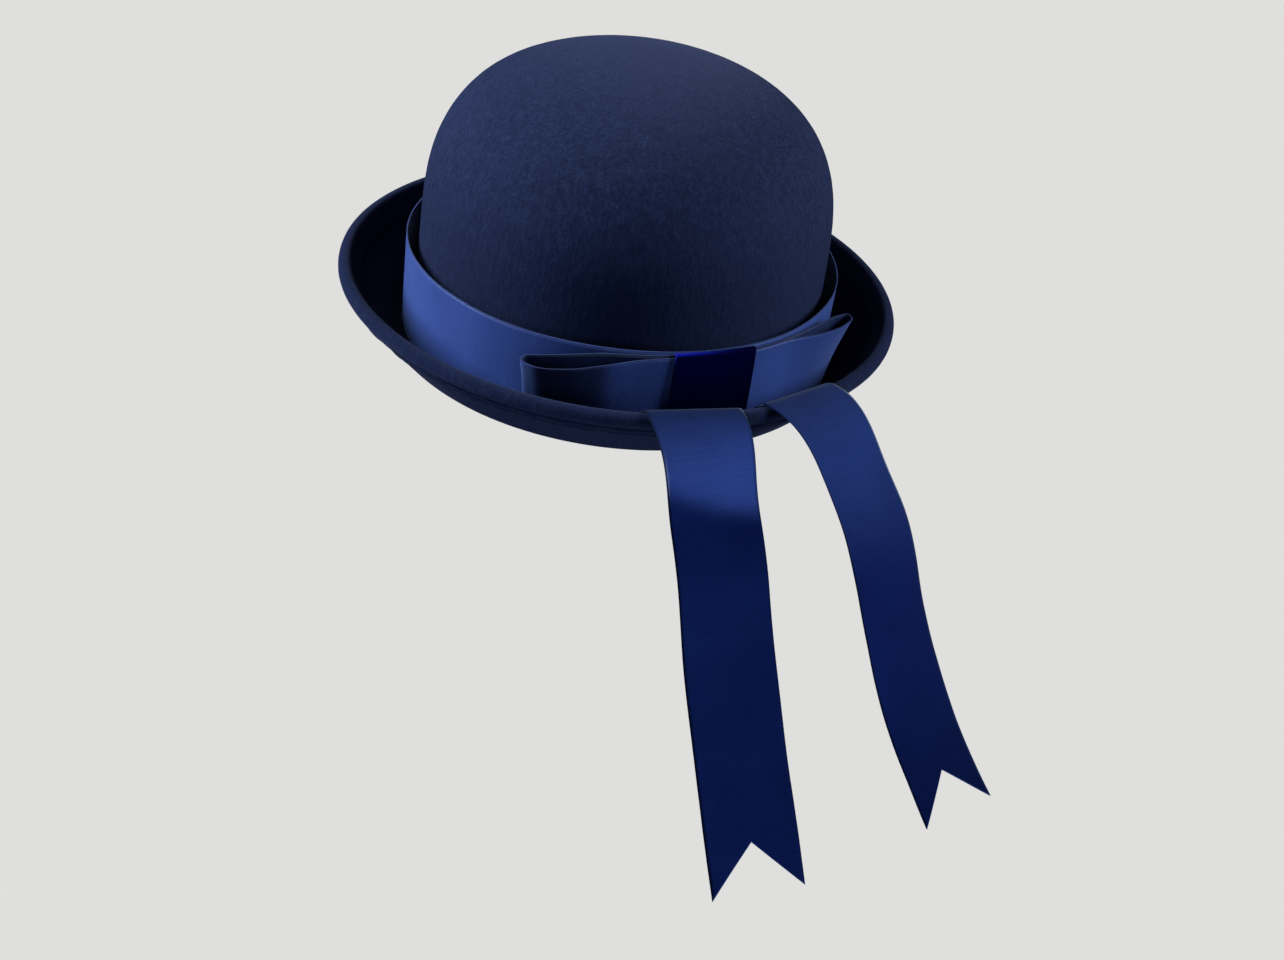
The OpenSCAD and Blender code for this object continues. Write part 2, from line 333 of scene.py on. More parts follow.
def ribbon_material(name, dark, light, spec, rough, sheen):
    """Woven ribbon with fine cross ribs, finer lengthwise threads and a firm selvedge at each edge."""
    m = Nodes(name)
    cloth = m.add("ShaderNodeAttribute", attribute_name="weave").outputs["Vector"]
    split = m.add("ShaderNodeSeparateXYZ", {0: cloth})
    along, across = split.outputs[0], split.outputs[1]
    drift = m.noise(m.stretched(cloth, (0.9, 0.05, 1.0)), 1.0, 3.0, 0.6)
    phase = m.math("ADD", m.math("MULTIPLY", along, 2 * math.pi / RIB), m.math("MULTIPLY", drift, 1.6))
    ribs = m.wave(phase)
    warp = m.wave(m.math("MULTIPLY", across, 2 * math.pi / THREAD))
    streak = m.noise(m.stretched(cloth, (1.6, 0.035, 1.0)), 1.0, 3.0, 0.65)
    cloud = m.noise(cloth, 0.055, 2.0)
    edge = m.math("ABSOLUTE", m.math("SUBTRACT", across, RIBBON_W / 2))
    selvedge = m.math("GREATER_THAN", edge, RIBBON_W / 2 - SELVEDGE)
    beside = m.math("GREATER_THAN", edge, RIBBON_W / 2 - 2 * SELVEDGE)
    beside = m.math("MULTIPLY", beside, m.math("SUBTRACT", 1.0, selvedge))
    tone = m.math("ADD", m.math("MULTIPLY", streak, 0.55), m.math("MULTIPLY", cloud, 0.45))
    colour = m.mix(m.ramp(tone, [(0.32, (0, 0, 0)), (0.68, (1, 1, 1))]), dark, light)
    shade = m.add("ShaderNodeAttribute", attribute_name="shade").outputs["Fac"]
    between_ribs = m.math("SUBTRACT", 1.0, ribs)
    darker = ((between_ribs, 0.35, 0.45), (selvedge, 0.8, 0.5), (beside, 0.3, 0.5), (shade, 1.0, 0.15))
    for where, amount, depth in darker:
        colour = m.mix(m.math("MULTIPLY", where, amount), colour, tuple(depth * c for c in dark))
    height = m.math("ADD", ribs, m.math("MULTIPLY", warp, 0.18))
    height = m.math("ADD", height, m.math("MULTIPLY", selvedge, 0.6))
    height = m.math("ADD", height, m.math("MULTIPLY", streak, 0.8))
    normal = m.bump(height, 0.00005, 0.6)
    roughness = m.math("ADD", rough - 0.04, m.math("MULTIPLY", streak, 0.08))
    roughness = m.math("MAXIMUM", roughness, m.math("MULTIPLY", selvedge, 0.95))
    return m.finish(colour, roughness, normal, Specular_IOR_Level=spec, Specular_Tint=(0.80, 0.95, 1.0, 1.0),
                    Sheen_Weight=sheen, Sheen_Roughness=0.35, Sheen_Tint=(0.50, 0.68, 1.0, 1.0))


def thread_material():
    m = Nodes("sewing_thread")
    place = m.add("ShaderNodeTexCoord").outputs["Object"]
    strands = {"Vector": place, "Scale": 900.0, "Distortion": 1.5}
    twist = m.add("ShaderNodeTexWave", strands, bands_direction="DIAGONAL").outputs["Fac"]
    colour = m.ramp(twist, [(0.2, (0.0006, 0.0010, 0.0038)), (0.8, (0.0020, 0.0030, 0.0100))])
    return m.finish(colour, 0.85, m.bump(twist, 0.00006, 0.7), Specular_IOR_Level=0.05)


def label_material():
    m = Nodes("woven_label")
    cloth = m.add("ShaderNodeAttribute", attribute_name="weave").outputs["Vector"]
    split = m.add("ShaderNodeSeparateXYZ", {0: cloth})
    warp = m.math("SINE", m.math("MULTIPLY", split.outputs[0], 2 * math.pi / 0.30))
    weft = m.math("SINE", m.math("MULTIPLY", split.outputs[1], 2 * math.pi / 0.24))
    weave = m.math("MULTIPLY", warp, weft)
    tone = m.math("ADD", m.math("MULTIPLY", weave, 0.25), 0.5)
    colour = m.mix(tone, (0.50, 0.49, 0.45), (0.66, 0.65, 0.60))
    return m.finish(colour, 0.75, m.bump(weave, 0.00004, 0.6), Specular_IOR_Level=0.25, Sheen_Weight=0.15)


def wire_material():
    m = Nodes("drawn_steel")
    place = m.add("ShaderNodeTexCoord").outputs["Object"]
    marks = m.noise(m.stretched(place, (60.0, 60.0, 1400.0)), 1.0, 3.0)
    colour = m.ramp(marks, [(0.3, (0.35, 0.36, 0.38)), (0.7, (0.56, 0.57, 0.59))])
    rough = m.math("ADD", 0.28, m.math("MULTIPLY", marks, 0.2))
    return m.finish(colour, rough, m.bump(marks, 0.00002, 0.5), Metallic=1.0)


FELT_LOOK = felt_material()
RIBBON_LOOK = ribbon_material("navy_ribbon", (0.0050, 0.0118, 0.055), (0.0076, 0.0168, 0.073),
                              spec=0.08, rough=0.42, sheen=0.06)
# The knot's ribbon is the band's ribbon in a darker, bluer copy: painted shade.
KNOT_SHADED_LOOK = ribbon_material("navy_ribbon_painted_shade", (0.0007, 0.0022, 0.150), (0.0016, 0.0046, 0.190),
                            spec=0.05, rough=0.50, sheen=0.06)
SWEAT_LOOK = ribbon_material("sweatband_ribbon", (0.0030, 0.0035, 0.010), (0.0060, 0.0070, 0.018),
                             spec=0.2, rough=0.6, sheen=0.2)
THREAD_LOOK = thread_material()
LABEL_LOOK = label_material()
WIRE_LOOK = wire_material()


# --- felt --------------------------------------------------------------------------------------

# The brim's outer face: its end, the centre of its last bend and the foot of that bend.
FACE = np.array([LIP_X + (LIP_R - LIP_PROUD) * math.sin(math.radians(END_SLOPE)),
                 LIP_Z - (LIP_R - LIP_PROUD) * math.cos(math.radians(END_SLOPE))])
END = FACE + END_R * np.array([-math.sin(math.radians(END_SLOPE)), math.cos(math.radians(END_SLOPE))])
END_LOW = END + END_R * np.array([math.sin(math.radians(BRIM_SLOPE)), -math.cos(math.radians(BRIM_SLOPE))])
SLOPE = math.radians(BRIM_SLOPE)
RISE = END_LOW[1] - ROLL_R * (1 - math.cos(SLOPE))
ROLL_X = END_LOW[0] - RISE / math.tan(SLOPE) - ROLL_R * math.sin(SLOPE)
END_ARC = END_R * math.radians(END_SLOPE - BRIM_SLOPE)
LIP = np.array([LIP_X, LIP_Z])


def outer_face(below, lift=0.0):
    """Point of the brim's outer face, a distance below its end, lifted square to it."""
    below = np.asarray(below, float)
    a = np.radians(END_SLOPE - 90) - np.minimum(below, END_ARC) / END_R
    r = END_R + lift
    point = END + np.stack([r * np.cos(a), r * np.sin(a)], -1)
    past = np.maximum(below - END_ARC, 0.0)
    return point - past[..., None] * np.array([math.cos(SLOPE), math.sin(SLOPE)])


def hem_face(below, lift=0.0):
    """Point of the hem's face inside the brim, a distance below the lip's top, lifted square to it."""
    along = np.array([math.cos(math.radians(HEM_SLOPE)), math.sin(math.radians(HEM_SLOPE))])
    out = np.array([-along[1], along[0]])
    return LIP + out * (LIP_R + lift) - along * below


def dome(r, top, n):
    """Half of the crown's section above its wall, from the side to the top."""
    a = np.radians(90 * np.linspace(0, 1, n) ** 0.85)
    side, height = r * np.cos(a) ** (2 / DOME_SIDE), DOME_Z + (top - DOME_Z) * np.sin(a) ** (2 / DOME_TOP)
    return np.stack([side, height], 1)


def spread(points, step):
    """The same line with points an even step apart."""
    s = np.concatenate([[0], np.cumsum(np.linalg.norm(np.diff(points, axis=0), axis=1))])
    at = np.linspace(0, s[-1], max(2, int(round(s[-1] / step)) + 1))
    return np.stack([np.interp(at, s, points[:, k]) for k in (0, 1)], 1)


def brim_section():
    """From the crown's inner wall under the brim, round the lip, over the hem and to the outer wall."""
    foot = WALL_OUT + BEND
    under = np.concatenate([arc(foot, FELT + BEND, FELT + BEND, 180, 270, 9),
                            arc(ROLL_X, ROLL_R, ROLL_R, -90, BRIM_SLOPE - 90, 9)])
    face = outer_face(np.arange(FACE_DEPTH, 0.0, -FACE_STEP))
    lip = arc(LIP_X, LIP_Z, LIP_R, END_SLOPE - 90 - 35, HEM_SLOPE + 90, 17)
    hem = [hem_face(d) for d in np.arange(1.0, HEM - 0.8, 0.8)]
    # The hem's cut edge is rounded off towards the brim below it.
    hem += [hem_face(HEM + d, -inward * LIP_R) for d, inward in ((-0.3, 0.08), (0.0, 0.30), (0.05, 0.72))]
    inner = outer_face(np.arange(9.6, 16.0, 0.8), -FELT)
    trough = np.concatenate([arc(ROLL_X, ROLL_R, ROLL_R - FELT, BRIM_SLOPE - 90, -90, 8),
                             arc(foot, FELT + BEND, BEND, 270, 180, 8)])
    return under, face, lip, np.array(hem), inner, trough


def ring_points(section, angles):
    """Points of the section at each angle round the oval."""
    points = np.empty((len(section), len(angles), 3))
    points[..., :2] = oval(section[:, 0][:, None], angles[None, :])
    points[..., 2] = section[:, 1][:, None]
    return points


def bands(rows, count, start):
    """Quads between rings of the same count."""
    i, j = np.meshgrid(np.arange(rows - 1), np.arange(count), indexing="ij")
    j2 = (j + 1) % count
    corners = [i * count + j, i * count + j2, (i + 1) * count + j2, (i + 1) * count + j]
    return start + np.stack(corners, -1).reshape(-1, 4)


def sewn_rows(below, t):
    """Relief of the brim's outer face at each distance below its end and each angle, and the painted shade
    in the rows' grooves.

    Stitched rows pull the felt in, and it swells a little between them.
    """
    ring = unit_ring(t) * 120
    pucker = 0.8 + 0.2 * np.cos(np.radians(t) * STITCHES) + 0.6 * waver(ring, 6.0, 2)
    wander = 0.25 * waver(ring, 30.0, 3)
    push = np.zeros((len(below), len(t)))
    groove_shade = np.zeros((len(below), len(t)))
    for row, depth in zip(ROWS, (1.35, 1.0)):
        line = np.exp(-(((below[:, None] - row - wander) / 1.05) ** 2))
        push -= depth * pucker * line
        # Painted shade along each row's groove.
        groove_shade = np.maximum(groove_shade, line * (0.45 + 0.5 * depth))
    swell = 1 + 0.9 * waver(ring, 7.0, 4)
    for middle, height, wide in ((0.3, 0.40, 1.2), (5.1, 0.80, 1.4), (10.0, 0.35, 1.5)):
        push += height * np.exp(-(((below[:, None] - middle) / wide) ** 2)) * swell
    return push, groove_shade


def felt_piece():
    """Crown and brim as one felt, with more points round the brim than round the crown."""
    coarse, fine = 400, 800
    t_coarse, t_fine = np.arange(coarse) * 360 / coarse, np.arange(fine) * 360 / fine
    inside = spread(dome(WALL_IN, CROWN_H - FELT, 400)[::-1], 2.2)
    inside = np.concatenate([inside, [[WALL_IN, z] for z in (36, 31, 26, 21, 16, 11)]])
    parts = brim_section()
    outside = np.concatenate([[[WALL_OUT, z] for z in (9, 13, 18, 23, 28, 33, 37)],
                              spread(dome(WALL_OUT, CROWN_H, 400), 1.9)])
    brim = np.concatenate(parts)
    start_face = len(parts[0])
    start_lip = start_face + len(parts[1])
    start_hem = start_lip + len(parts[2])
    points = ring_points(brim, t_fine)

    normal = np.gradient(brim, axis=0)
    normal = np.stack([normal[:, 1], -normal[:, 0]], 1)
    normal /= np.linalg.norm(normal, axis=1, keepdims=True)
    below = np.full(len(brim), np.inf)
    below[start_face:start_lip] = np.arange(FACE_DEPTH, 0.0, -FACE_STEP)
    push, groove_shade = sewn_rows(below, t_fine)
    offset = push[..., None] * normal[:, None, :]
    points[..., :2] += offset[..., :1] * oval(1.0, t_fine)[None]
    points[..., 2] += offset[..., 1]

    # The hem's raw edge is ragged.
    end_hem = start_hem + len(parts[3])
    ring = unit_ring(t_fine) * 120
    ragged = 0.28 * waver(ring, 5.0, 7) + 0.35 * waver(ring, 22.0, 8)
    points[end_hem - 4:end_hem, :, 2] += ragged[None]

    blocks = [ring_points(inside[1:], t_coarse), points, ring_points(outside[:-1], t_coarse)]
    flat = [b.reshape(-1, 3) for b in blocks]
    starts = np.cumsum([0] + [len(f) for f in flat])
    faces = [bands(len(block), block.shape[1], start) for block, start in zip(blocks, starts)]
    quads = np.concatenate(faces).tolist()

    # The brim has two points for each one of the crown, so triangles join their rings.
    low = starts[1] - coarse
    top = starts[2] - fine
    for k in range(coarse):
        k2 = (k + 1) % coarse
        fine_points = np.array([2 * k, 2 * k + 1, (2 * k + 2) % fine])
        a, b = low + k, low + k2
        f0, f1, f2 = (starts[1] + fine_points).tolist()
        quads += [(a, f1, f0), (a, b, f1), (b, f2, f1)]
        a, b = starts[2] + k, starts[2] + k2
        f0, f1, f2 = (top + fine_points).tolist()
        quads += [(f0, f1, a), (f1, b, a), (f1, f2, b)]
    everything = np.concatenate(flat + [[[0, 0, CROWN_H - FELT]], [[0, 0, CROWN_H]]])
    inner_top, outer_top, last_ring = starts[3], starts[3] + 1, starts[3] - coarse
    for k in range(coarse):
        k2 = (k + 1) % coarse
        quads += [(inner_top, k2, k), (outer_top, last_ring + k, last_ring + k2)]

    # Hand-blocked felt is never perfectly even, and its surface is slightly lumpy.
    drift = 0.35 * waver(everything, 46.0, 11) + 0.07 * waver(everything, 5.0, 12)
    away = everything * [1, 1 / OVAL**2, 0]
    away /= np.maximum(np.linalg.norm(away, axis=1, keepdims=True), 1e-6)
    dome_part = ease((everything[:, 2] - 44) / 30)
    everything[:, :2] += (away[:, :2] * drift[:, None]) * (0.35 + 0.65 * dome_part[:, None])
    everything[:, 2] += drift * 0.5 * dome_part
    obj = piece("felt_body_blocked", everything, quads, FELT_LOOK)
    # The grooves' painted shade is kept on the points for the felt's material.
    attribute = obj.data.attributes.new("groove_shade", "FLOAT", "POINT")
    groove_shade_at = np.zeros(len(everything), np.float32)
    groove_shade_at[starts[1]:starts[2]] = groove_shade.ravel()
    attribute.data.foreach_set("value", groove_shade_at)
    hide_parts("felt_body")
    return obj


felt = felt_piece()


def stitch_row(name, place, outward, count, length, thread_r, node=None):
    """Row of separate stitches. place(angle) is on the surface and outward(angle) points off it."""
    points, faces = [], []
    sides, rings = 6, 7
    pitch = 360.0 / count
    ahead = 0.02
    for k in range(count):
        mid = k * pitch + 0.12 * pitch * noise.noise(Vector((k * 0.73, len(name), 0)))
        spans = np.linspace(-0.5, 0.5, rings)
        for s in spans:
            a = mid + s * length * pitch
            p, n = place(a), outward(a)
            way = place(a + ahead) - place(a - ahead)
            way /= np.linalg.norm(way)
            side = np.cross(way, n)
            lift = 0.22 - 0.62 * (2 * abs(s)) ** 2.6
            r = thread_r * (1.0 - 0.35 * (2 * abs(s)) ** 4)
            for q in range(sides):
                c = 2 * math.pi * q / sides
                points.append(p + n * (lift + r * math.sin(c)) + side * r * math.cos(c))
        base = k * sides * rings
        for i in range(rings - 1):
            for q in range(sides):
                q2 = (q + 1) % sides
                near, far = base + i * sides, base + (i + 1) * sides
                faces.append((near + q, near + q2, far + q2, far + q))
        faces.append(tuple(base + q for q in reversed(range(sides))))
        faces.append(tuple(base + (rings - 1) * sides + q for q in range(sides)))
    obj = piece(name, points, faces, THREAD_LOOK)
    if node:
        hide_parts(node)
    return obj


def around(r, z):
    """Function that gives the point of the ring (r, z) at an angle."""
    return lambda a: np.array([*oval(r, a), z])


def leaning(slope):
    """Function that gives the direction off a ring's surface: slope in degrees below level."""
    def direction(a):
        h = math.radians(square_to(a))
        c = math.cos(math.radians(slope))
        return np.array([c * math.sin(h), -c * math.cos(h), -math.sin(math.radians(slope))])
    return direction


for row, node, depth in ((ROWS[0], "hem_thread_upper", -0.38), (ROWS[1], "hem_thread_lower", -0.25)):
    outer = outer_face(row, depth)
    stitch_row(node + "_stitches", around(*outer), leaning(90 - END_SLOPE), STITCHES,
               length=0.74, thread_r=0.26, node=node)
    inner = hem_face(row - 1.0, 0.02)
    stitch_row(node + "_inner_stitches", around(*inner), leaning(HEM_SLOPE - 90), STITCHES,
               length=0.5, thread_r=0.24)


# --- band --------------------------------------------------------------------------------------

def band_piece():
    """Ribbon round the crown, standing a little off it at its top edge."""
    n, m = 360, 25
    t = np.arange(n) * 360 / n
    v = np.linspace(0, 1, m)
    ring = unit_ring(t) * 100
    wave = 0.35 * waver(ring, 45.0, 21) + 0.12 * waver(ring, 14.0, 22)
    flare = BAND_R + 0.25 - BAND_FOOT_R
    r = BAND_FOOT_R + flare * v[None, :] + wave[:, None] * (0.25 + 0.75 * v[None, :])
    tilt = 0.75 * np.sin(np.radians(t)) + 0.15 * waver(ring, 30.0, 23)
    z = BAND_Z[0] + (BAND_Z[1] - BAND_Z[0]) * v[None, :] + tilt[:, None] * v[None, :] ** 0.5
    grid = np.concatenate([oval(r, t[:, None]), z[..., None]], -1)
    length = 2 * math.pi * BAND_R * OVAL_ROUND
    along, across = np.meshgrid(t / 360 * length, v * RIBBON_W, indexing="ij")
    obj = ribbon("hat_band_ribbon", grid, along, across, RIBBON_LOOK, closed=True)
    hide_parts("hat_band")
    return obj


band = band_piece()


# --- bow ---------------------------------------------------------------------------------------

def loops_piece():
    """Both loops of the bow as one closed ribbon, pinched flat at the knot."""
    # Places along the closed ribbon: angle, half-width at the foot and at the top, height of the top.
    path = np.array([
        # from the knot to the left end, against the band
        (26.0, 91.9, 91.9, 40.3), (10.0, 91.8, 91.9, 40.3), (-2.0, 91.9, 92.6, 39.4),
        (-10.0, 92.2, 95.6, 37.8), (-15.5, 92.7, 98.6, 36.6), (-18.0, 93.3, 100.9, 36.2),
        # round the left end and back to the knot, in front
        (-18.2, 93.9, 103.6, 35.8), (-15.8, 94.2, 105.2, 35.5), (-8.0, 93.9, 102.4, 36.0),
        (-1.5, 93.4, 98.6, 37.4), (7.7, 93.0, 94.0, 39.2), (15.5, 92.7, 93.0, 40.1),
        # from the knot to the right end, in front
        (26.0, 92.6, 92.8, 40.3), (37.0, 92.7, 92.9, 40.3), (48.6, 93.2, 93.8, 40.4),
        (58.6, 94.0, 99.6, 40.5), (65.0, 94.4, 102.4, 40.6), (68.6, 94.4, 102.4, 40.8),
        # round the right end and back to the knot, against the band
        (69.6, 93.8, 100.3, 40.9), (67.6, 92.8, 97.4, 40.7), (62.0, 92.0, 94.2, 40.5),
        (50.0, 91.8, 92.2, 40.3), (38.0, 91.8, 91.9, 40.3), (26.0, 91.9, 91.9, 40.3)])
    foot_z = 5.4
    foot = np.concatenate([oval(path[:, 1], path[:, 0]), np.full((len(path), 1), foot_z)], 1)
    head = np.concatenate([oval(path[:, 2], path[:, 0]), path[:, 3:]], 1)
    step = np.concatenate([[0], np.cumsum(np.linalg.norm(np.diff(head, axis=0), axis=1))])
    n, m = 420, 25
    at = np.linspace(0, step[-1], n, endpoint=False)
    foot, head = smooth_through(step, foot, at), smooth_through(step, head, at)
    v = np.linspace(0, 1, m)
    # The ribbon stays close to the band low down and leans out towards its top edge.
    lean = v[None, :, None] ** 1.35
    level = v[None, :, None]
    grid = foot[:, None, :] + (head - foot)[:, None, :] * np.concatenate([lean, lean, level], 2)
    flat = grid.reshape(-1, 3)
    ripple = (0.28 * waver(flat, 24.0, 31)).reshape(n, m)
    out = flat * [1, 1 / OVAL**2, 0]
    out = (out / np.linalg.norm(out, axis=1, keepdims=True)).reshape(n, m, 3)
    angle = np.degrees(np.arctan2(grid[..., 0] * OVAL, -grid[..., 1]))
    loose = ease((np.abs(angle - BOW_AT) - 13) / 14)
    grid = grid + out * (ripple * loose)[..., None]
    along, across = np.meshgrid(at, v * RIBBON_W, indexing="ij")
    # In front, the ribbon is shaded just past its left end. All of its inner face is shaded.
    left_end, clear = step[7], step[9]
    turned = 0.78 * ease((at - left_end - 1.5) / 3) * (1 - ease((at - clear + 2) / 10))
    obj = ribbon("bow_loops_ribbon", grid, along, across, RIBBON_LOOK, closed=True,
                 shade=(turned[:, None], 0.8))
    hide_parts("bow_loops")
    return obj


def knot_piece():
    """Ribbon once round the middle of the loops, with soft creases across its face."""
    n, m = 150, 49
    low, high, back, front = 4.6, 41.3, 91.45, 93.75
    corner = 0.9
    belly, straight = 0.35, high - low - 2 * corner
    down = np.linspace(0.02, 0.98, 40)
    loop = np.concatenate([
        [(back, z) for z in np.linspace(low + corner, high - corner, 20)],
        arc(back + corner, high - corner, corner, 170, 95, 5),
        arc(front - corner, high - corner, corner, 85, 5, 9),
        [(front + belly * math.sin(math.pi * s), high - corner - s * straight) for s in down],
        arc(front - corner, low + corner, corner, -5, -85, 8),
        arc(back + corner, low + corner, corner, -95, -170, 5)])
    closed = np.concatenate([loop, loop[:1]])
    s = np.concatenate([[0], np.cumsum(np.linalg.norm(np.diff(closed, axis=0), axis=1))])
    at = np.linspace(0, s[-1], n, endpoint=False)
    section = np.stack([np.interp(at, s, closed[:, k]) for k in (0, 1)], 1)
    v = np.linspace(0, 1, m)
    t = BOW_AT - KNOT_HALF + 2 * KNOT_HALF * v
    creases = ((0.30, 0.035, -0.10), (0.62, 0.05, 0.12), (0.84, 0.03, -0.08))
    crease = sum(depth * np.exp(-(((v - middle) / wide) ** 2)) for middle, wide, depth in creases)
    face = ease((section[:, 0] - 92.6) / 0.8)
    height = section[:, 1][:, None]
    middle_z = 23
    pinch = 0.10 * np.sin(height * 0.11 + 1.2)
    r = section[:, 0][:, None] + face[:, None] * (crease[None, :] * (0.6 + 4 * pinch))
    z = height + 0 * v[None, :] + 0.35 * (height > middle_z) * np.sin(math.pi * v)[None, :]
    shear = 0.012 * (height - middle_z)
    grid = np.concatenate([oval(r, t[None, :] + 0.5 * shear), z[..., None]], -1)
    grid = grid[:, ::-1]
    along, across = np.meshgrid(at, v * RIBBON_W, indexing="ij")
    obj = ribbon("bow_knot_ribbon", grid, along, across, KNOT_SHADED_LOOK, closed=True)
    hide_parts("bow_knot")
    return obj


loops = loops_piece()
knot = knot_piece()


# --- tails -------------------------------------------------------------------------------------

def tail_piece(name, at, slopes, headings, length, notch, nodes, hinge, curl, seed):
    """One ribbon from under the bow, up over the lip and down to its swallowtail end.

    slopes and headings are those of its middle line at a few places down to its end, in degrees.
    """
    home = square_to(at)
    outward = np.array([math.sin(math.radians(home)), -math.cos(math.radians(home))])
    top = np.array([*(oval(LIP_X, at) - 0.8 * outward), 30.1])

    # Hanging part: slope and heading change smoothly along it.
    s = np.linspace(0, length, 241)
    slope = np.radians(smooth_through(np.linspace(0, length, len(slopes) + 1), [0, *slopes], s))
    heading = np.radians(smooth_through(np.array([0, 0.12, 0.4, 0.7, 1.0]) * length, [home, *headings], s))
    way = np.stack([np.cos(slope) * np.sin(heading), -np.cos(slope) * np.cos(heading), np.sin(slope)], 1)
    steps = (way[1:] + way[:-1]) / 2 * (s[1] - s[0])
    hanging = top + np.concatenate([[[0, 0, 0]], np.cumsum(steps, axis=0)])

    # Root: up from the trough, tangent to the roll over the lip.
    centre, radius, foot = np.array([-0.8, 22.6]), 7.5, np.array([-22.0, 8.5])
    gap = foot - centre
    touch = math.degrees(math.atan2(gap[1], gap[0])) + 360
    touch -= math.degrees(math.acos(radius / np.linalg.norm(gap)))
    bend = arc(centre[0], centre[1], radius, touch, 90, 12)
    climb = spread(np.concatenate([[foot], bend]), 1.0)
    root = np.concatenate([oval(LIP_X, at) + climb[:, :1] * outward, climb[:, 1:]], 1)
    s_root = -np.concatenate([[0], np.cumsum(np.linalg.norm(np.diff(root[::-1], axis=0), axis=1))])[::-1]

    line = np.concatenate([root[:-1], hanging])
    s_line = np.concatenate([s_root[:-1], s])
    turn = np.concatenate([np.full(len(root) - 1, math.radians(home)), heading])
    m = 25
    v = np.linspace(-1, 1, m)

    # The last rows slide down at the ribbon's edges, more and more, until they meet the swallowtail's cut.
    held = length - notch - 14
    rows = np.concatenate([np.arange(s_line[0], held, 1.0), np.linspace(held, length, 36)])
    ends = length - notch * (1 - np.abs(v))
    stretch = np.clip((rows - held) / (length - held), 0, 1)
    place = rows[:, None] + stretch[:, None] * (ends - length)[None, :]
    centre_line = np.stack([np.interp(place, s_line, line[:, k]) for k in range(3)], -1)
    yaw = np.interp(place, s_line, turn)
    cross = np.stack([np.cos(yaw), np.sin(yaw), 0 * yaw], -1)
    fall = np.gradient(line, s_line, axis=0)
    fall = np.stack([np.interp(place, s_line, fall[:, k]) for k in range(3)], -1)
    off = np.cross(cross, fall)
    off /= np.linalg.norm(off, axis=2, keepdims=True)
    off *= np.sign(off[..., 2:3] + 1e-9)
    free = ease((place - 14) / 40)
    cup = curl * free * (v[None, :] ** 2 - 0.33)
    flat = centre_line.reshape(-1, 3)
    ripple = 0.30 * waver(flat, 42.0, seed) + 0.12 * waver(flat, 13.0, seed + 1)
    ripple = free * ripple.reshape(place.shape)
    wavy_edge = 0.25 * free * np.sin(place / 9.5 + seed) * v[None, :] ** 3
    relief = cup + ripple + wavy_edge
    grid = centre_line + cross * (v * RIBBON_W / 2)[None, :, None] + off * relief[..., None]
    across = np.broadcast_to((v + 1) * RIBBON_W / 2, place.shape)
    obj = ribbon(name, grid, place, across, RIBBON_LOOK, body=None, kind=seed * 3.0)

    hinge = np.array(hinge)
    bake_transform(obj)
    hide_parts(*nodes)
    return obj


tail_left = tail_piece(
    "tail_left_ribbon", at=17.5,
    slopes=(-64, -57, -64, -58, -55, -53, -53), headings=(29.2, 28.4, 26.4, 25.6),
    length=181.0, notch=18.5, nodes=("tail_left_root", "tail_left"),
    hinge=(37.634, -133.719, 24.5), curl=0.9, seed=41)
tail_right = tail_piece(
    "tail_right_ribbon", at=41.4,
    slopes=(-45, -51, -64, -63, -57, -48, -41), headings=(50.8, 49.9, 48.6, 44.5),
    length=175.2, notch=17.5, nodes=("tail_right_root", "tail_right"),
    hinge=(81.524, -105.318, 27.0), curl=-0.7, seed=51)


# --- inside of the crown -----------------------------------------------------------------------

def sweatband_piece():
    """Grosgrain inside the crown, sewn along its lower edge and a little wavy above."""
    n, m = 300, 17
    t = np.arange(n) * 360 / n
    v = np.linspace(0, 1, m)
    wave = 0.10 + 0.25 * waver(unit_ring(t) * 90, 26.0, 61)
    r = SWEAT_R + 0 * t[:, None] - wave[:, None] * ease(v[None, :] * 1.4)
    z = SWEAT_Z[0] + (SWEAT_Z[1] - SWEAT_Z[0]) * v[None, :] + 0 * t[:, None]
    grid = np.concatenate([oval(r, t[:, None]), z[..., None]], -1)
    along, across = np.meshgrid(t / 360 * SWEAT_ROUND, v * RIBBON_W, indexing="ij")
    obj = ribbon("sweatband_grosgrain", grid, along * 0.55, across, SWEAT_LOOK, closed=True, thick=0.7)
    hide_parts("sweatband")
    return obj


def label_piece():
    """Blank label on the sweatband at the centre back, bulging a little."""
    n, m = 25, 31
    t = np.linspace(-4, 4, n)
    v = np.linspace(0, 1, m)
    bulge = 0.5 * np.sin(math.pi * np.linspace(0, 1, n))[:, None] * np.sin(math.pi * v)[None, :]
    r = LABEL_R - bulge
    z = (LABEL_FOOT + LABEL_H * v)[None, :, None] + 0 * t[:, None, None]
    grid = np.concatenate([oval(r, t[:, None] + 0 * v[None, :]), z], -1)
    along, across = np.meshgrid(np.linspace(0, LABEL_W, n), v * LABEL_H, indexing="ij")
    obj = ribbon("size_label_woven", grid, along, across, LABEL_LOOK, thick=0.25)
    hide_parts("size_label")
    return obj


sweatband_piece()
label_piece()
stitch_row("sweatband_thread_stitches", around(SWEAT_R - 0.36, 4.2), leaning(180), 210,
           length=0.66, thread_r=0.24, node="sweatband_thread")
for name in ("brim_wire", "wire_joiner"):
    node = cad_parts[name]
    node.data.materials.clear()
    node.data.materials.append(WIRE_LOOK)


# --- floor and light ---------------------------------------------------------------------------

PALE = (0.752, 0.752, 0.737)
AMBIENT = (0.11, 0.11, 0.12)
FLOOR_Z, FLOOR_HALF = -1.3, 40


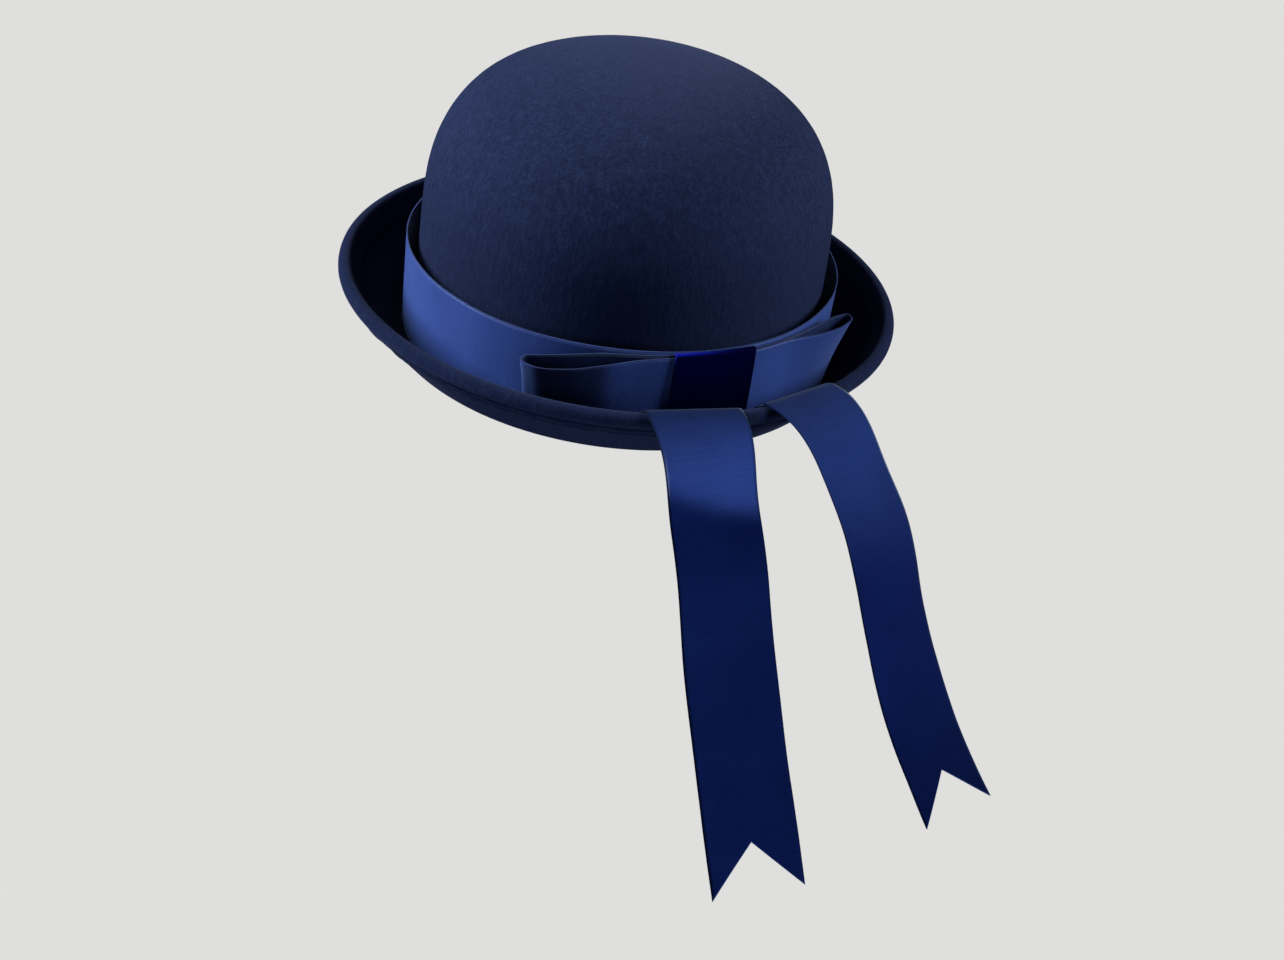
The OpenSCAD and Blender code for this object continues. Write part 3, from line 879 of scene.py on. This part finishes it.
def stage():
    """Pale backdrop and floor. The backdrop looks pale to the camera and lights the hat with a dim grey."""
    scene = bpy.context.scene
    scene.view_settings.view_transform = "Standard"
    world = bpy.data.worlds.new("studio")
    scene.world = world
    world.use_nodes = True
    tree = world.node_tree
    backdrop, ambient = tree.nodes["Background"], tree.nodes.new("ShaderNodeBackground")
    backdrop.inputs["Color"].default_value = (*PALE, 1.0)
    ambient.inputs["Color"].default_value = (*AMBIENT, 1.0)
    path, mix = tree.nodes.new("ShaderNodeLightPath"), tree.nodes.new("ShaderNodeMixShader")
    tree.links.new(path.outputs["Is Camera Ray"], mix.inputs[0])
    tree.links.new(ambient.outputs[0], mix.inputs[1])
    tree.links.new(backdrop.outputs[0], mix.inputs[2])
    tree.links.new(mix.outputs[0], tree.nodes["World Output"].inputs["Surface"])
    mesh = bpy.data.meshes.new("floor")
    corners = [(x * FLOOR_HALF, y * FLOOR_HALF, FLOOR_Z) for x, y in ((-1, -1), (1, -1), (1, 1), (-1, 1))]
    mesh.from_pydata(corners, [], [(0, 1, 2, 3)])
    floor = bpy.data.objects.new("floor", mesh)
    scene.collection.objects.link(floor)
    paint = bpy.data.materials.new("pale_floor")
    paint.use_nodes = True
    shader = paint.node_tree.nodes["Principled BSDF"]
    shader.inputs["Base Color"].default_value = (0.02, 0.02, 0.02, 1.0)
    shader.inputs["Specular IOR Level"].default_value = 0.0
    shader.inputs["Roughness"].default_value = 1.0
    shader.inputs["Emission Color"].default_value = (*PALE, 1.0)
    shader.inputs["Emission Strength"].default_value = 0.98
    mesh.materials.append(paint)
    floor.visible_diffuse = floor.visible_glossy = floor.visible_shadow = False
    floor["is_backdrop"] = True


def place_light(name, kind, place, target, power):
    data = bpy.data.lights.new(name, kind)
    data.energy = power
    light = bpy.data.objects.new(name, data)
    bpy.context.scene.collection.objects.link(light)
    light.location = place
    light.rotation_mode = "QUATERNION"
    light.rotation_quaternion = (Vector(target) - Vector(place)).to_track_quat("-Z", "Y")
    return light


def softbox(name, place, target, size, power, colour=(1.0, 1.0, 1.0)):
    light = place_light(name, "AREA", place, target, power)
    light.data.shape, light.data.size, light.data.size_y = "RECTANGLE", *size
    light.data.color = colour
    light.visible_camera = False
    return light


def spotlight(name, place, target, cone, blend, power):
    light = place_light(name, "SPOT", place, target, power)
    light.data.spot_size, light.data.spot_blend = math.radians(cone), blend
    light.data.shadow_soft_size = 0.004
    return light


def only_on(light, objects):
    """The light falls on these objects only."""
    group = bpy.data.collections.new("lit_by_" + light.name)
    for obj in objects:
        group.objects.link(obj)
    light.light_linking.receiver_collection = group


def light_hat():
    """Soft light from all round, and weaker lights for the felt alone and for the band and loops."""
    sky = (0.55, 0.72, 1.0)
    fixed = [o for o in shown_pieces() if o not in (tail_left, tail_right)]
    all_but_knot = [o for o in fixed if o is not knot]
    only_on(softbox("key", (-0.75, 0.30, 1.10), (0, 0, 0.05), (0.9, 0.9), 9.0), fixed)
    only_on(softbox("left", (-1.22, 0.02, 0.68), (0, -0.05, 0.02), (0.6, 0.6), 146.0), fixed)
    only_on(softbox("right", (1.18, -0.06, 0.72), (0.03, -0.08, 0.02), (0.5, 0.6), 75.0), all_but_knot)
    only_on(softbox("bounce", (0.05, -0.75, -0.85), (0, -0.1, 0.0), (0.7, 0.5), 28.0), fixed)
    only_on(softbox("front", (0.20, -1.10, 0.35), (0, -0.1, 0.0), (0.5, 0.5), 5.0), [band, loops])
    only_on(softbox("low", (-0.35, -1.05, 0.10), (0, -0.1, 0.02), (0.8, 0.5), 10.0, sky), [felt])
    only_on(softbox("side", (1.15, 0.30, 0.40), (0.1, 0, 0.05), (0.5, 0.5), 16.0), [felt])


def light_tails():
    """Bluish fill from below, light from behind and a spot on the upper part of each tail."""
    tails = [tail_left, tail_right]
    fill, pale_blue = (0.24, 0.46, 1.0), (0.75, 0.85, 1.0)
    only_on(softbox("fill", (0.75, -0.75, -0.50), (0.08, -0.2, -0.08), (0.5, 0.5), 19.0, fill), tails)
    only_on(softbox("behind", (-0.60, 0.85, -0.15), (0.08, -0.2, -0.02), (0.6, 0.6), 26.0, pale_blue), tails)
    lamp = (0.18, -1.00, 0.42)
    for tail, name, target, blend, power in (
            (tail_left, "beam_left", (0.060, -0.13, 0.116), 0.12, 90.0),
            (tail_right, "beam_right", (0.105, -0.13, 0.092), 0.95, 120.0)):
        only_on(spotlight(name, lamp, target, 14.0, blend, power), [tail])


stage()
light_hat()
light_tails()
